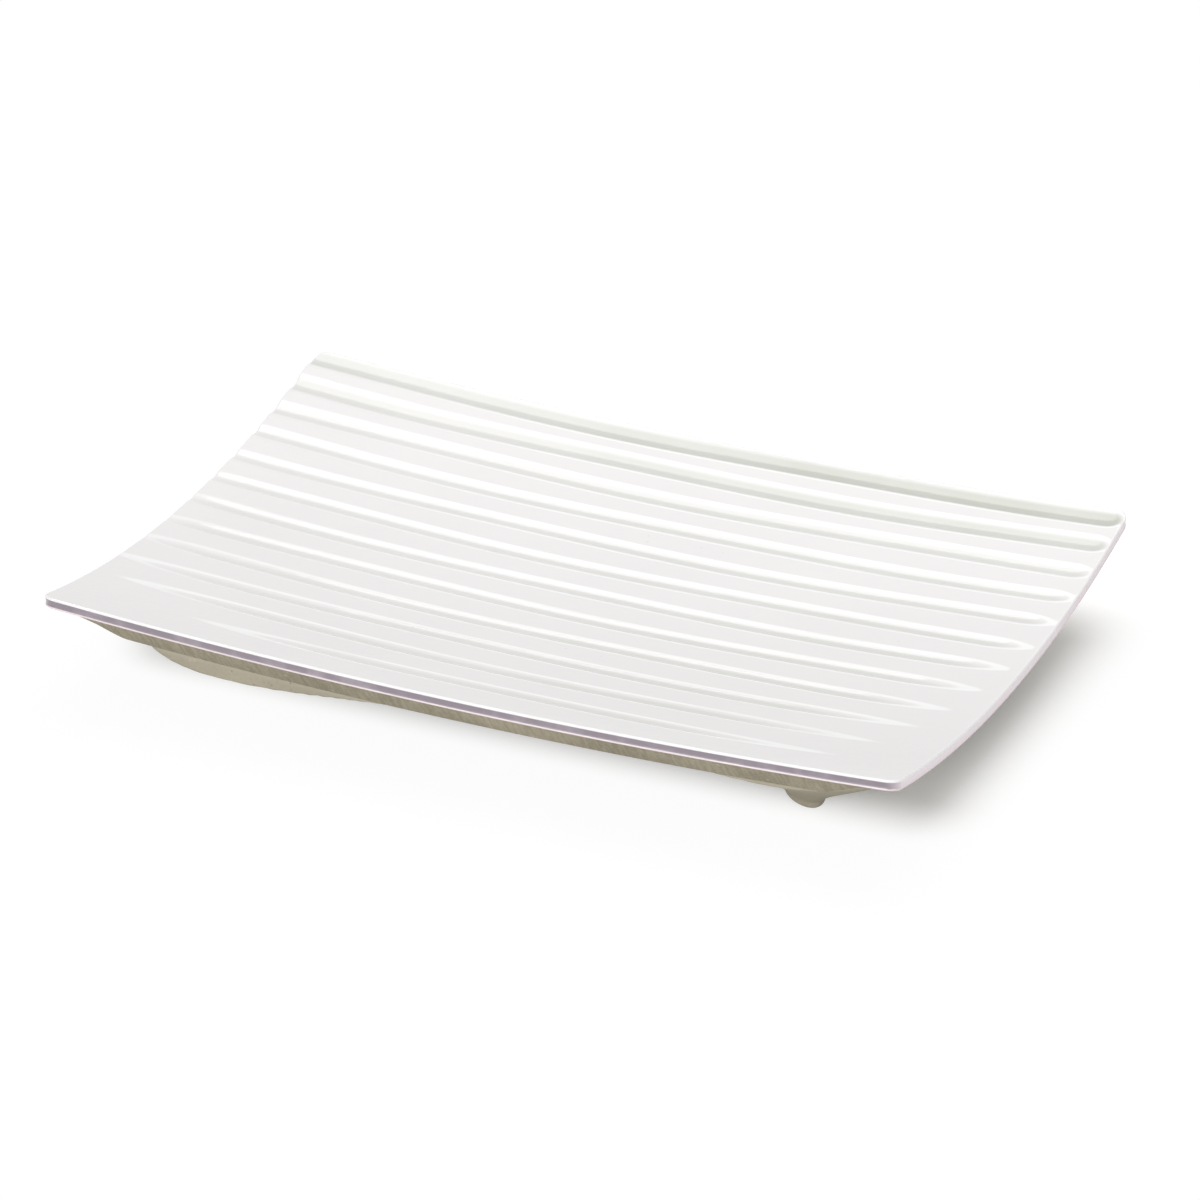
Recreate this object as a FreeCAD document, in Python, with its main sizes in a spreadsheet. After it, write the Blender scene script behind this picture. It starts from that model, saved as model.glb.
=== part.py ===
"""Soap dish: a dished, grooved ceramic tray on four stub feet with soft pads.

Millimetres. +X runs along the tray, +Z is up and the front of the dish faces -Y. The origin
lies on the surface that the dish stands on, under the middle of the tray.
"""
import FreeCAD, Part
import os

import Sketcher

SIZES = {
    "tray_length": 145,
    "tray_width": 98,
    "tray_thickness": 4.5,
    "centre_height": 11,
    "length_sag": 2.6,
    "width_sag": 6.5,
    "rim_land": 1.6,
    "rim_edge": 0.4,
    "bevel_inset": 2.8,
    "underside_corner": 0.7,
    "groove_count": 12,
    "groove_radius": 2.4,
    "groove_depth": 0.7,
    "groove_back_margin": 4.5,
    "groove_front_margin": 9,
    "groove_end_back": 1.2,
    "groove_end_front": 12.5,
    "foot_end_inset": 24,
    "foot_side_inset": 22,
    "foot_splay": 30,
    "sole_length": 10.5,
    "sole_width": 5,
    "sole_edge": 0.7,
    "root_length": 44,
    "root_width": 27,
    "root_shift": 6,
    "pad_border": 0.5,
    "pad_gap": 0.1,
    "pad_recess": 0.5,
    "pad_proud": 0.4,
    "pad_edge": 0.2,
    "overrun": 5,
}

# Where the tray's edges lie, as shares of its thickness below the smooth top.
TOP_EDGE_SHARES = (-0.1, 0.1)
UPRIGHT_EDGE_SHARES = (0.25, 0.75)
LOWER_EDGE_SHARES = (0.75, 1.25)

# How much closer together the grooves lie at the back than an even spread, and wider in front.
CROWDING_SHARE = 0.13

# A foot's four sections: their height, and how far each has grown from the sole to the root.
FLARE_HEIGHT_SHARES = (0, 0.3, 0.65, 1)
FLARE_GROWTH_SHARES = (0, 0.2, 0.56, 1)

# The corners of the dish as signs along X and Y.
CORNERS = {
    "front_left": (-1, -1),
    "front_right": (1, -1),
    "back_left": (-1, 1),
    "back_right": (1, 1),
}

HALF_LENGTH = "(Sizes.tray_length / 2)"
HALF_WIDTH = "(Sizes.tray_width / 2)"
# Radii of the arcs that sag by the given amounts over the tray's length and width.
LENGTH_CURVE = "(Sizes.tray_length ^ 2 / (8 * Sizes.length_sag) + Sizes.length_sag / 2)"
WIDTH_CURVE = "(Sizes.tray_width ^ 2 / (8 * Sizes.width_sag) + Sizes.width_sag / 2)"
# A groove bends more tightly than the tray, so it runs out at the surface at its two ends.
LONGEST_GROOVE = f"({HALF_LENGTH} - Sizes.groove_end_back)"
GROOVE_CURVE = f"(1 / (1 / {LENGTH_CURVE} + 2 * Sizes.groove_depth / {LONGEST_GROOVE} ^ 2))"

doc = FreeCAD.newDocument("soap_dish")
sheet = doc.addObject("Spreadsheet::Sheet", "Sizes")


def fill_sheet():
    """Write each driving size into the sheet, beside its name."""
    for row, (name, number) in enumerate(SIZES.items(), start=1):
        sheet.set(f"A{row}", name)
        sheet.set(f"B{row}", str(number))
        sheet.setAlias(f"B{row}", name)
    doc.recompute()


def value(expression):
    """The number that an expression on the sheet gives now."""
    found = sheet.evalExpression(expression)
    return getattr(found, "Value", found)


def top_height(along, across):
    """Height of the tray's smooth top at a place, as an expression."""
    section = f"(Sizes.centre_height + {WIDTH_CURVE} - sqrt({WIDTH_CURVE} ^ 2 - ({across}) ^ 2))"
    axis = f"(Sizes.centre_height + {LENGTH_CURVE})"
    return f"({axis} - sqrt(({axis} - {section}) ^ 2 - ({along}) ^ 2))"


def add_body(label):
    """A new body, named like its label."""
    body = doc.addObject("PartDesign::Body", label)
    body.Label = label
    return body


def add_sketch(body, name, role, height=None):
    """A sketch on one of the body's origin planes, raised by an expression if one is given."""
    sketch = body.newObject("Sketcher::SketchObject", f"{body.Name}_{name}")
    plane = [item for item in body.Origin.OriginFeatures if item.Role == role]
    sketch.AttachmentSupport = [(plane[0], "")]
    sketch.MapMode = "FlatFace"
    if height:
        sketch.setExpression("AttachmentOffset.Base.z", height)
    return sketch


def bind(sketch, kind, places, expression):
    """Add a size constraint that follows an expression on the sheet."""
    index = sketch.addConstraint(Sketcher.Constraint(kind, *places, value(expression)))
    sketch.setExpression(f"Constraints[{index}]", expression)


def point(across, up):
    """A sketch point from two expressions."""
    return FreeCAD.Vector(value(across), value(up), 0)


def add_line(sketch, start, end, construction=False):
    """A line between two points given as pairs of expressions."""
    return sketch.addGeometry(Part.LineSegment(point(*start), point(*end)), construction)


def add_arc(sketch, start, middle, end):
    """An arc through three points given as pairs of expressions."""
    return sketch.addGeometry(Part.Arc(point(*start), point(*middle), point(*end)))


def join(sketch, *pairs):
    """Make the end points of sketch lines meet."""
    for pair in pairs:
        sketch.addConstraint(Sketcher.Constraint("Coincident", *pair))


def add_axis(sketch, height):
    """A level construction line at a height, for turning the sketch about."""
    axis = add_line(sketch, ("0", height), (HALF_WIDTH, height), construction=True)
    sketch.addConstraint(Sketcher.Constraint("PointOnObject", axis, 1, -2))
    sketch.addConstraint(Sketcher.Constraint("Horizontal", axis))
    bind(sketch, "DistanceY", (-1, 1, axis, 1), height)
    bind(sketch, "DistanceX", (axis, 1, axis, 2), HALF_WIDTH)


def add_section(body, rise):
    """The tray's cross-section, with its top raised by an expression.

    It is two concentric arcs, wider than the tray by the overrun.
    """
    sketch = add_sketch(body, "section", "YZ_Plane")
    edge = f"({HALF_WIDTH} + Sizes.overrun)"
    middle = f"(Sizes.centre_height + {WIDTH_CURVE})"
    radii = (f"({WIDTH_CURVE} - {rise})", f"({WIDTH_CURVE} + Sizes.tray_thickness)")
    ends = [f"({middle} - sqrt({radius} ^ 2 - {edge} ^ 2))" for radius in radii]
    arcs = []
    for radius, end in zip(radii, ends):
        crown = ("0", f"{middle} - {radius}")
        arcs.append(add_arc(sketch, (f"-{edge}", end), crown, (edge, end)))
        sketch.addConstraint(Sketcher.Constraint("PointOnObject", arcs[-1], 3, -2))
        bind(sketch, "Radius", (arcs[-1],), radius)
        bind(sketch, "DistanceY", (-1, 1, arcs[-1], 3), middle)
    for sign, corner in (("-", 1), ("", 2)):
        side = add_line(sketch, (f"{sign}{edge}", ends[0]), (f"{sign}{edge}", ends[1]))
        join(sketch, (side, 1, arcs[0], corner), (side, 2, arcs[1], corner))
        sketch.addConstraint(Sketcher.Constraint("Vertical", side))
        bind(sketch, "DistanceX", (-1, 1, side, 1), f"{sign}{edge}")
    add_axis(sketch, f"(Sizes.centre_height + {LENGTH_CURVE})")
    return sketch


def turn(body, kind, name, sketch, radius):
    """Turn a sketch both ways about its axis, far enough to pass the tray's ends."""
    feature = body.newObject(f"PartDesign::{kind}", name)
    feature.Profile = sketch
    feature.ReferenceAxis = (sketch, ["Axis0"])
    feature.Midplane = True
    reach = f"({HALF_LENGTH} + Sizes.overrun) / ({radius} - Sizes.width_sag - Sizes.overrun)"
    feature.setExpression("Angle", f"2 * asin({reach})")
    doc.recompute()


def add_rectangle(sketch, half_length, half_width):
    """A rectangle about the origin from four lines."""
    signs = ((-1, -1), (1, -1), (1, 1), (-1, 1))
    corners = [(f"{x} * {half_length}", f"{y} * {half_width}") for x, y in signs]
    sides = [add_line(sketch, corners[i], corners[(i + 1) % 4]) for i in range(4)]
    for i, side in enumerate(sides):
        join(sketch, (side, 2, sides[(i + 1) % 4], 1))
        bind(sketch, "DistanceX", (-1, 1, side, 1), corners[i][0])
        bind(sketch, "DistanceY", (-1, 1, side, 1), corners[i][1])


def trim_outline(body):
    """Cut the tray's rectangular outline, with upright sides."""
    sketch = add_sketch(body, "outline", "XY_Plane")
    add_rectangle(sketch, HALF_LENGTH, HALF_WIDTH)
    margin = "2 * Sizes.overrun"
    add_rectangle(sketch, f"({HALF_LENGTH} + {margin})", f"({HALF_WIDTH} + {margin})")
    trim = body.newObject("PartDesign::Pocket", "tray_trim")
    trim.Profile = sketch
    trim.Type = "ThroughAll"
    trim.Midplane = True
    doc.recompute()
    return trim


def edges_between(shape, depth_shares):
    """Names of the edges whose middle lies between two shares of the thickness below the top."""
    low_share, high_share = depth_shares
    names = []
    for number, edge in enumerate(shape.Edges, start=1):
        middle = edge.valueAt((edge.FirstParameter + edge.LastParameter) / 2)
        depth = value(top_height(middle.x, middle.y)) - middle.z
        if low_share < depth / value("Sizes.tray_thickness") < high_share:
            names.append(f"Edge{number}")
    return names


def round_edges(body, name, base, edges, radius):
    """Fillet some edges of the feature before."""
    fillet = body.newObject("PartDesign::Fillet", name)
    fillet.Base = (base, edges)
    fillet.setExpression("Radius", radius)
    doc.recompute()
    return fillet


def bevel_underside(body, base):
    """Bevel the lower rim from the upright land in to the underside."""
    bevel = body.newObject("PartDesign::Chamfer", "tray_bevel")
    bevel.Base = (base, edges_between(base.Shape, LOWER_EDGE_SHARES))
    bevel.ChamferType = "Two distances"
    bevel.setExpression("Size", "Sizes.tray_thickness - Sizes.rim_land")
    bevel.setExpression("Size2", "Sizes.bevel_inset")
    doc.recompute()
    return bevel


def add_groove_circle(sketch, share):
    """One groove's round section, for the groove at a share of the way from back to front."""
    step = share - CROWDING_SHARE * share * (1 - share)
    span = "(Sizes.tray_width - Sizes.groove_back_margin - Sizes.groove_front_margin)"
    across = f"({HALF_WIDTH} - Sizes.groove_back_margin - {span} * {step})"
    spread = "(Sizes.groove_end_front - Sizes.groove_end_back)"
    half = f"({LONGEST_GROOVE} - {spread} * {share ** 2})"
    depth = f"(Sizes.groove_depth * ({half} / {LONGEST_GROOVE}) ^ 2)"
    reach = f"({WIDTH_CURVE} - Sizes.groove_radius + {depth})"
    lean = f"({across} / {WIDTH_CURVE})"
    up = f"(Sizes.centre_height + {WIDTH_CURVE} - {reach} * sqrt(1 - {lean} ^ 2))"
    centre = point(f"{reach} * {lean}", up)
    circle = Part.Circle(centre, FreeCAD.Vector(0, 0, 1), value("Sizes.groove_radius"))
    index = sketch.addGeometry(circle)
    bind(sketch, "Radius", (index,), "Sizes.groove_radius")
    bind(sketch, "DistanceX", (-1, 1, index, 3), f"{reach} * {lean}")
    bind(sketch, "DistanceY", (-1, 1, index, 3), up)


def cut_grooves(body):
    """Cut the long drainage grooves, the shortest at the front."""
    sketch = add_sketch(body, "groove_rows", "YZ_Plane")
    count = round(value("Sizes.groove_count"))
    for place in range(count):
        add_groove_circle(sketch, place / (count - 1))
    add_axis(sketch, f"(Sizes.centre_height - Sizes.groove_depth + {GROOVE_CURVE})")
    turn(body, "Groove", "tray_grooves", sketch, GROOVE_CURVE)


def make_tray():
    """The dished tray with its land, bevel, soft rim and grooves."""
    body = add_body("tray")
    turn(body, "Revolution", "tray_blank", add_section(body, "0"), LENGTH_CURVE)
    trim = trim_outline(body)
    uprights = edges_between(trim.Shape, UPRIGHT_EDGE_SHARES)
    corner = "Sizes.bevel_inset + Sizes.underside_corner"
    rounded = round_edges(body, "tray_corners", trim, uprights, corner)
    bevel = bevel_underside(body, rounded)
    rim = edges_between(bevel.Shape, TOP_EDGE_SHARES)
    round_edges(body, "tray_rim", bevel, rim, "Sizes.rim_edge")
    cut_grooves(body)
    return body


def make_ceiling():
    """All the room over the tray's underside, for fitting the feet to it from below."""
    body = add_body("ceiling")
    section = add_section(body, "Sizes.overrun")
    turn(body, "Revolution", "ceiling_block", section, LENGTH_CURVE)
    return body


def add_oval(sketch, length, width, shift="0"):
    """An ellipse along the sketch's X, moved along it by an expression."""
    centre = point(shift, "0")
    tip = centre + FreeCAD.Vector(value(length) / 2, 0, 0)
    flank = centre + FreeCAD.Vector(0, value(width) / 2, 0)
    oval = sketch.addGeometry(Part.Ellipse(tip, flank, centre))
    sketch.exposeInternalGeometry(oval)
    long_axis, short_axis = (oval + 1, oval + 2)
    sketch.addConstraint(Sketcher.Constraint("Horizontal", long_axis))
    sketch.addConstraint(Sketcher.Constraint("PointOnObject", oval, 3, -1))
    bind(sketch, "Distance", (long_axis,), length)
    bind(sketch, "Distance", (short_axis,), width)
    bind(sketch, "DistanceX", (-1, 1, oval, 3), shift)


def place_at_corner(body, signs):
    """Stand a foot's piece at its corner, its length splayed in towards the tray's middle."""
    side_x, side_y = signs
    body.setExpression("Placement.Base.x", f"{side_x} * ({HALF_LENGTH} - Sizes.foot_end_inset)")
    body.setExpression("Placement.Base.y", f"{side_y} * ({HALF_WIDTH} - Sizes.foot_side_inset)")
    start = {(-1, -1): "", (1, -1): "180 - ", (1, 1): "180 + ", (-1, 1): "360 - "}[signs]
    body.setExpression("Placement.Rotation.Angle", f"{start}Sizes.foot_splay")


def add_foot_sections(body):
    """Ovals from the sole up to the root, which reaches the tray's underside all round.

    The first oval is the sole, drawn in by its bevel. The rest widen slowly, then quickly.
    """
    along = f"({HALF_LENGTH} - Sizes.foot_end_inset + Sizes.root_length / 2 - Sizes.root_shift)"
    across = f"({HALF_WIDTH} - Sizes.foot_side_inset + Sizes.root_width / 2)"
    root = f"({top_height(along, across)} - Sizes.tray_thickness)"
    sole = add_sketch(body, "sole", "XY_Plane", "Sizes.pad_proud")
    draw_in = "2 * Sizes.sole_edge"
    add_oval(sole, f"Sizes.sole_length - {draw_in}", f"Sizes.sole_width - {draw_in}")
    sections = [sole]
    start = "(Sizes.pad_proud + Sizes.sole_edge)"
    for level, growth in zip(FLARE_HEIGHT_SHARES, FLARE_GROWTH_SHARES):
        height = f"{start} + ({root} - {start}) * {level}"
        sketch = add_sketch(body, f"flare_{len(sections)}", "XY_Plane", height)
        length = f"Sizes.sole_length + (Sizes.root_length - Sizes.sole_length) * {growth}"
        width = f"Sizes.sole_width + (Sizes.root_width - Sizes.sole_width) * {growth}"
        add_oval(sketch, length, width, f"Sizes.root_shift * {growth}")
        sections.append(sketch)
    doc.recompute()
    return sections


def add_loft(body, name, sections, ruled):
    """A solid through some sections, straight between them if it is ruled."""
    loft = body.newObject("PartDesign::AdditiveLoft", f"{body.Name}_{name}")
    loft.Profile = sections[0]
    loft.Sections = sections[1:]
    loft.Ruled = ruled
    doc.recompute()


def recess_sole(body):
    """Sink the pad's seat into the sole."""
    sketch = add_sketch(body, "seat", "XY_Plane", "Sizes.pad_proud")
    border = "2 * (Sizes.sole_edge + Sizes.pad_border)"
    add_oval(sketch, f"Sizes.sole_length - {border}", f"Sizes.sole_width - {border}")
    seat = body.newObject("PartDesign::Pocket", f"{body.Name}_recess")
    seat.Profile = sketch
    seat.setExpression("Length", "Sizes.pad_recess")
    seat.Reversed = True
    doc.recompute()


def make_foot(corner, ceiling):
    """A flared stub foot with a seat for its pad, fitted to the tray's underside."""
    form = add_body(f"foot_form_{corner}")
    sections = add_foot_sections(form)
    add_loft(form, "flare", sections[1:], ruled=False)
    add_loft(form, "sole_bevel", sections[:2], ruled=True)
    recess_sole(form)
    place_at_corner(form, CORNERS[corner])
    foot = doc.addObject("Part::Cut", f"foot_{corner}")
    foot.Label = f"foot_{corner}"
    foot.Base = form
    foot.Tool = ceiling
    return foot


def make_pad(corner):
    """A soft pad that fills the seat in a sole and stands a little proud of it."""
    body = add_body(f"foot_pad_{corner}")
    sketch = add_sketch(body, "outline", "XY_Plane")
    border = "2 * (Sizes.sole_edge + Sizes.pad_border + Sizes.pad_gap)"
    add_oval(sketch, f"Sizes.sole_length - {border}", f"Sizes.sole_width - {border}")
    block = body.newObject("PartDesign::Pad", f"{body.Name}_block")
    block.Profile = sketch
    block.setExpression("Length", "Sizes.pad_proud + Sizes.pad_recess")
    doc.recompute()
    low = [edge.BoundBox.ZMax < value("Sizes.pad_edge") for edge in block.Shape.Edges]
    edges = [f"Edge{number}" for number, lies in enumerate(low, start=1) if lies]
    round_edges(body, f"{body.Name}_edge", block, edges, "Sizes.pad_edge")
    place_at_corner(body, CORNERS[corner])
    return body


def check(pieces):
    """Stop if any object of the document failed or any piece is empty or broken."""
    for item in doc.Objects:
        if {"Invalid", "Error"} & set(item.State):
            raise RuntimeError(f"{item.Label} failed: {item.State}")
    for piece in pieces:
        shape = piece.Shape
        if shape.isNull() or not shape.isValid() or len(shape.Solids) != 1:
            raise RuntimeError(f"{piece.Label} is not one sound solid")


def write(pieces):
    """Write each piece to a file with its own name."""
    os.makedirs("parts", exist_ok=True)
    for piece in pieces:
        piece.Shape.exportStep(f"parts/{piece.Label}.step")


fill_sheet()
pieces = [make_tray()]
ceiling = make_ceiling()
pieces += [make_foot(corner, ceiling) for corner in CORNERS]
pieces += [make_pad(corner) for corner in CORNERS]
doc.recompute()
check(pieces)
write(pieces)
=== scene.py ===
"""Looks of a grooved ceramic soap dish on four stub feet with soft pads.

Metres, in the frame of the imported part: +X runs along the tray, the front of the dish faces -Y
and +Z is up. The origin lies on the surface that the dish stands on.
"""

import math
from collections import namedtuple

import bpy
import numpy as np
from mathutils import Matrix, Vector


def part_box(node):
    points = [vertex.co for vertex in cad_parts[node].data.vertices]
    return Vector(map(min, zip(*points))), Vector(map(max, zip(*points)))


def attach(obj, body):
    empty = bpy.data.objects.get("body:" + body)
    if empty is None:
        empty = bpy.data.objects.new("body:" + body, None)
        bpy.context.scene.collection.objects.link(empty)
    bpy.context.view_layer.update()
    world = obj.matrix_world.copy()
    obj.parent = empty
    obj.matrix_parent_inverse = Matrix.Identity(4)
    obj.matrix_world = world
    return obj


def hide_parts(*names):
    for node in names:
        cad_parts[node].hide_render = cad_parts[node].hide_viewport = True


bl_info = {
    "name": "Grooved soap dish",
    "version": (1, 0, 0),
    "blender": (4, 5, 0),
    "location": "View3D > Sidebar > Soap dish",
    "description": "Makes a glazed, grooved soap dish on stub feet, and a plain studio round it",
    "category": "Object",
}

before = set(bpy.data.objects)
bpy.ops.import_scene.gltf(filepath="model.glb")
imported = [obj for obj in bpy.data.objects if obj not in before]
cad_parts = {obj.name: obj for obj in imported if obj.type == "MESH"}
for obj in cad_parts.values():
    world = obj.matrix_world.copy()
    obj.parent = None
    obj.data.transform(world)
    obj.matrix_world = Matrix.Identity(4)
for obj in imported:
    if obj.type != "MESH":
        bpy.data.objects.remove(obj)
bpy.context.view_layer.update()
TRAY_LOW, TRAY_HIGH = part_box("tray")
MM = 0.001

# The corners of the dish as signs along X and Y.
CORNERS = {
    "front_left": (-1, -1),
    "front_right": (1, -1),
    "back_left": (-1, 1),
    "back_right": (1, 1),
}

# How finely the tray is divided, and the least radius of a drawn-in corner. Columns crowd towards the
# two ends.
MIDDLE_ROWS = 280
CORNER_STEPS = 6
LEAST_CORNER = 0.3 * MM
COLUMNS = 131
END_CROWDING = 0.6

# How finely a foot and a pad are divided.
OVAL_STEPS = 96
SOLE_STEPS = 7
FLARE_RINGS = 40
FLARE_PROBES = 300

# The upper end of a flare: its height, length and width, how far it turns outwards at its inner end in
# degrees, and how far it leans in along the tray and out to the long edge. The feet are formed by hand,
# and those on the left (-1) differ from those on the right (1).
Root = namedtuple("Root", "height length width turn lean_in lean_out")
ROOTS = {
    -1: Root(12.7 * MM, 52 * MM, 30 * MM, 22, 10 * MM, 10.5 * MM),
    1: Root(12.9 * MM, 40 * MM, 27 * MM, 4, -1 * MM, 6 * MM),
}

# How far up a flare is followed, as a share of the way to its root, how near it comes to the tray's
# ends and long edges, how far its end sinks into the tray, and the share of it from which slip shows,
# which the finish marks with a painted highlight.
MOST_RISE_SHARE = 1.8
FLARE_KEEP = (5 * MM, 3 * MM)
FLARE_BITE = 0.04 * MM
SLIP_FROM_SHARE = 0.78

# The chamfer of a pad's seat, how far in the pad's flat face is divided, and the share of the pad's
# edge that rounds it at the top.
SEAT_EDGE = 0.08 * MM
PAD_FACE_INSET = 0.6 * MM
PAD_TOP_SHARE = 0.5


def length(name, description, metres):
    """A length that a user may set."""
    return bpy.props.FloatProperty(
        name=name, description=description, default=metres, unit="LENGTH", precision=4
    )


def number(name, description, value):
    """A plain number that a user may set."""
    return bpy.props.FloatProperty(name=name, description=description, default=value)


def colour(name, description, rgb):
    """A colour that a user may set, in linear light."""
    return bpy.props.FloatVectorProperty(
        name=name, description=description, default=rgb, subtype="COLOR", min=0, max=1
    )


class DishTraySizes(bpy.types.PropertyGroup):
    """Sizes of the dished, grooved tray."""

    tray_length: length("Length", "Along the tray", TRAY_HIGH.x - TRAY_LOW.x)
    tray_width: length("Width", "Across the tray", TRAY_HIGH.y - TRAY_LOW.y)
    thickness: length("Thickness", "From the smooth top to the underside", 4.5 * MM)
    centre_height: length("Centre height", "Smooth top over the table", 11 * MM)
    length_sag: length("Length sag", "How far the middle hangs below the ends", 2.45 * MM)
    width_sag: length("Width sag", "How far the middle hangs below the sides", 6.35 * MM)
    corner_radius: length("Corner radius", "Corners of the outline", 2.2 * MM)
    rim_edge: length("Rim edge", "Round of the rim's upper edge", 0.35 * MM)
    rim_land: length("Rim land", "Upright band below the rim", 1.75 * MM)
    bevel_inset: length("Bevel inset", "Where the lower bevel meets the underside", 2.8 * MM)
    end_thickness: length("End thickness", "Of the ends that overhang", 2.1 * MM)
    end_overhang: length("End overhang", "How far in the ends stay thin", 4 * MM)
    end_ramp: length("End ramp", "Over which the ends grow to full thickness", 10 * MM)
    groove_count: bpy.props.IntProperty(
        name="Grooves", description="Number of drainage grooves", default=12, min=2
    )
    groove_radius: length("Groove radius", "Round of a groove's floor", 3.1 * MM)
    groove_depth: length("Groove depth", "Deepest point of a groove", 0.7 * MM)
    back_margin: length("Back margin", "From the back rim to the first groove", 2.3 * MM)
    front_margin: length("Front margin", "From the front rim to the last groove", 9 * MM)


class DishFootSizes(bpy.types.PropertyGroup):
    """Sizes of the stub feet and of the pads in their soles."""

    splay: bpy.props.FloatProperty(
        name="Splay",
        description="How far a sole's length turns from the tray's",
        default=math.radians(40),
        subtype="ANGLE",
    )
    sole_length: length("Sole length", "Along the sole", 9 * MM)
    sole_width: length("Sole width", "Across the sole", 5.5 * MM)
    sole_edge: length("Sole edge", "Round of the sole's edge", 1.2 * MM)
    flare_power: number("Flare", "Power of the height that the flare grows by", 1.25)
    slip_round: length("Slip round", "Round of the joint under the tray", 1.5 * MM)
    pad_border: length("Pad border", "Bare sole round the pad's seat", 0.5 * MM)
    pad_gap: length("Pad gap", "Between the pad and its seat", 0.1 * MM)
    pad_recess: length("Pad recess", "Depth of the pad's seat", 0.5 * MM)
    pad_proud: length("Pad stand-off", "How far the pad stands out", 0.4 * MM)
    pad_edge: length("Pad edge", "Round of the pad's edge", 0.2 * MM)


class DishColours(bpy.types.PropertyGroup):
    """Colours of the finishes."""

    glaze: colour("Glaze", "White glaze on the lands", (0.875, 0.86, 0.855))
    # The next colour is partly the glaze's pooling in the grooves and partly painted shade.
    pooled_and_shade: colour("Pooled glaze", "Where the glaze lies deep in a groove", (0.56, 0.576, 0.515))
    # The next colour is a painted highlight: plain white over the grooves' shoulders and the rim's
    # round.
    painted_highlight: colour("Breaking glaze", "Where it thins to white over an edge", (0.98, 0.975, 0.972))
    # The next colour is painted shade: a darker, purple-grey copy of the upright band on the long edges,
    # which stand in shade.
    thin: colour("Thin glaze", "On the long edges, where the body shows through", (0.265, 0.225, 0.26))
    blush: colour("Blush", "On the edges of the two ends", (0.88, 0.79, 0.83))
    # The next colour is a painted highlight: the lighter pink line where the bead catches light.
    bead: colour("Glaze bead", "Rolled lower edge of the glaze", (0.8, 0.68, 0.71))
    clay: colour("Clay", "Bare fired clay", (0.43, 0.386, 0.29))
    clay_dark: colour("Dark clay", "Darker grains and scrapes", (0.215, 0.19, 0.135))
    # The next colour also serves as painted light on the feet and their slip joint.
    clay_pale_and_lit: colour("Pale clay", "Paler grains", (0.52, 0.48, 0.385))
    pad: colour("Pad", "Soft pads", (0.62, 0.61, 0.57))


def arc_radius(run, sag):
    """Radius of the arc that sags by a depth over a run."""
    return run**2 / (8 * sag) + sag / 2


def bowl_height(sizes, x, y, below=0.0):
    """Height of the tray's smooth top, or of the skin evenly below it, over plan points.

    Across the tray it is an arc that sags by width_sag. The arc turns about a level axis over
    the tray's middle, which is as far up as makes the length sag by length_sag.
    """
    across = arc_radius(sizes.tray_width, sizes.width_sag)
    axis = sizes.centre_height + arc_radius(sizes.tray_length, sizes.length_sag)
    section = sizes.centre_height + across - np.sqrt((across + below) ** 2 - y**2)
    return axis - np.sqrt((axis - section) ** 2 - x**2)


def soft_positive(values, reach):
    """The values above a reach, zero as far below zero, and a parabola that joins them between."""
    bend = np.clip(values + reach, 0, 2 * reach)
    return bend**2 / (4 * reach) + np.maximum(values - reach, 0)


def smooth_step(values):
    """Zero up to zero, one from one on, and a smooth rise between."""
    part = np.clip(values, 0, 1)
    return part * part * (3 - 2 * part)


def under_height(sizes, x, y):
    """Height of the tray's underside, which is thinner towards its two ends."""
    inboard = sizes.tray_length / 2 - sizes.end_overhang - np.abs(x)
    full = smooth_step(inboard / sizes.end_ramp)
    return bowl_height(
        sizes, x, y, sizes.end_thickness + (sizes.thickness - sizes.end_thickness) * full
    )


# How the grooves lie. They crowd towards the back. Each end of a groove follows two rules: how far its
# tip lies from the tray's end, and the run over which it closes. A rule has its start at the back, its
# growth towards the front, and the power that it grows by.
Rule = namedtuple("Rule", "start growth power")
CROWDING_SHARE = 0.13
RIGHT_TIPS = Rule(0, 11.5 * MM, 2.4)
RIGHT_RUNS = Rule(3 * MM, 36 * MM, 2.6)
LEFT_TIPS = Rule(-4 * MM, 24 * MM, 12.6)
LEFT_RUNS = Rule(6 * MM, 30 * MM, 3)

# The share of its depth that a groove in front loses at its tips. From the back on, over a share of
# the grooves, they lose shares of their depth and of their round.
TIP_LOST_SHARE = 0.9
SHRINKING_SHARE = 0.3
DEPTH_LOST_SHARE = 0.38
ROUND_LOST_SHARE = 0.22

# How softly a groove's shoulders bend, how much softer they are on the left, and where that begins and
# over which run it grows.
SHOULDER_REACH = 0.14 * MM
SOFTER_REACH = 0.3 * MM
SOFTER_FROM = -15 * MM
SOFTER_RUN = 50 * MM

# The wave of a groove's centre line: its height, its length, and its step from one groove to the next
# in radians.
WANDER = 0.2 * MM
WANDER_RUN = 83 * MM
WANDER_STEP = 2.4


def grown(rule, part):
    """A rule's value at a share of the way from the back to the front."""
    return rule.start + rule.growth * part**rule.power


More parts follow.
